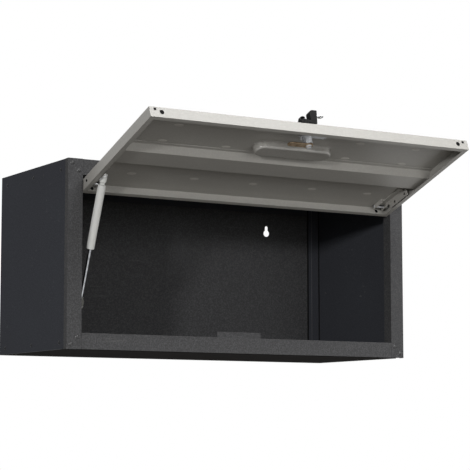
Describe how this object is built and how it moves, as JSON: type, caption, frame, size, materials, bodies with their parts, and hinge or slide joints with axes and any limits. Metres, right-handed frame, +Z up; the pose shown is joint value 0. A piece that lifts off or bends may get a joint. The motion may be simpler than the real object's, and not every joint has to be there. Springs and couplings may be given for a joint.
{
  "type": "wall-mounted tool cabinet",
  "caption": "Wall-mounted steel tool cabinet with a top-hinged flap door held open by a gas strut, a recessed grip and a locking lever latch.",
  "frame": {"origin": "on the wall face, midway between the round holes of the two wall keyholes", "axes": "+X along the wall to the right as seen from the front, +Y into the wall, +Z up"},
  "size_m": [0.7564, 0.5641, 0.4439],
  "materials": {
    "frame_paint": "fine textured powder coat, dark grey",
    "casing_paint": "fine textured powder coat, dark blue-grey",
    "door_paint": "satin light grey paint",
    "zinc": "bright zinc plate",
    "yellow_zinc": "zinc plate with a yellow-brown passivation",
    "strut_paint": "satin silver paint",
    "rod_steel": "ground rod",
    "black_plastic": "satin black",
    "black_nylon": "matt black"
  },
  "bodies": {
    "cabinet": {"side_panel_left": "casing_paint", "side_panel_right": "casing_paint", "top_panel": "casing_paint", "bottom_panel": "casing_paint", "back_panel": "frame_paint", "stile_left": "frame_paint", "stile_right": "frame_paint", "top_rail": "frame_paint", "bottom_rail": "frame_paint", "frame_rivets": "frame_paint", "side_rivets": "casing_paint", "strut_foot_bracket": "casing_paint", "strut_foot_stud": "zinc", "strut_foot_nut": "zinc"},
    "door": {"door_pan": "door_paint", "door_stiffener": "door_paint", "grip_cup": "door_paint", "hinge_bracket_left": "door_paint", "hinge_bracket_right": "door_paint", "pivot_pin_left": "zinc", "pivot_pin_right": "zinc", "pin_clips": "zinc", "pivot_washers": "black_nylon", "edge_plugs": "black_nylon", "door_ball_stud": "zinc", "door_stud_nut": "zinc", "lock_escutcheon": "black_plastic", "lock_barrel": "zinc", "lock_clamp": "zinc", "lock_nut": "zinc"},
    "handle": {"handle": "black_plastic", "lock_spindle": "zinc", "latch_cam": "yellow_zinc", "cam_screw": "zinc"},
    "key": {"key_plug": "zinc", "key": "zinc"},
    "strut_tube": {"strut_tube": "strut_paint", "upper_socket": "strut_paint", "rod_guide": "black_nylon"},
    "strut_rod": {"strut_rod": "rod_steel", "strut_piston": "black_nylon", "lower_socket": "strut_paint", "lower_ball": "zinc"}
  },
  "joints": [
    {"name": "door_hinge", "type": "hinge", "parent": "cabinet", "child": "door", "pos_m": [0, -0.3005, 0.0308], "axis": [1, 0, 0], "range_deg": [0, 110.5]},
    {"name": "handle_turn", "type": "hinge", "parent": "door", "child": "handle", "pos_m": [0, -0.52185, 0.11836], "axis": [0, 0.3502, 0.9367], "range_deg": [0, 90]},
    {"name": "key_turn", "type": "hinge", "parent": "handle", "child": "key", "pos_m": [0.0315, -0.50749, 0.15677], "axis": [1, 0, 0], "range_deg": [0, 90]},
    {"name": "strut_swing", "type": "hinge", "parent": "door", "child": "strut_tube", "pos_m": [-0.3235, -0.3407, 0.0375], "axis": [1, 0, 0], "range_deg": [-118.8, 0]},
    {"name": "strut_slide", "type": "slide", "parent": "strut_tube", "child": "strut_rod", "axis": [0, -0.3805, 0.9248], "range_m": [0, 0.0596], "stiffness_N_per_m": 260, "springref_m": -0.58}
  ],
  "couplings": [
    {"joint": "strut_swing", "follows": "door_hinge", "ratio": -1.0742},
    {"joint": "strut_slide", "follows": "door_hinge", "m_per_rad": 0.030876}
  ]
}
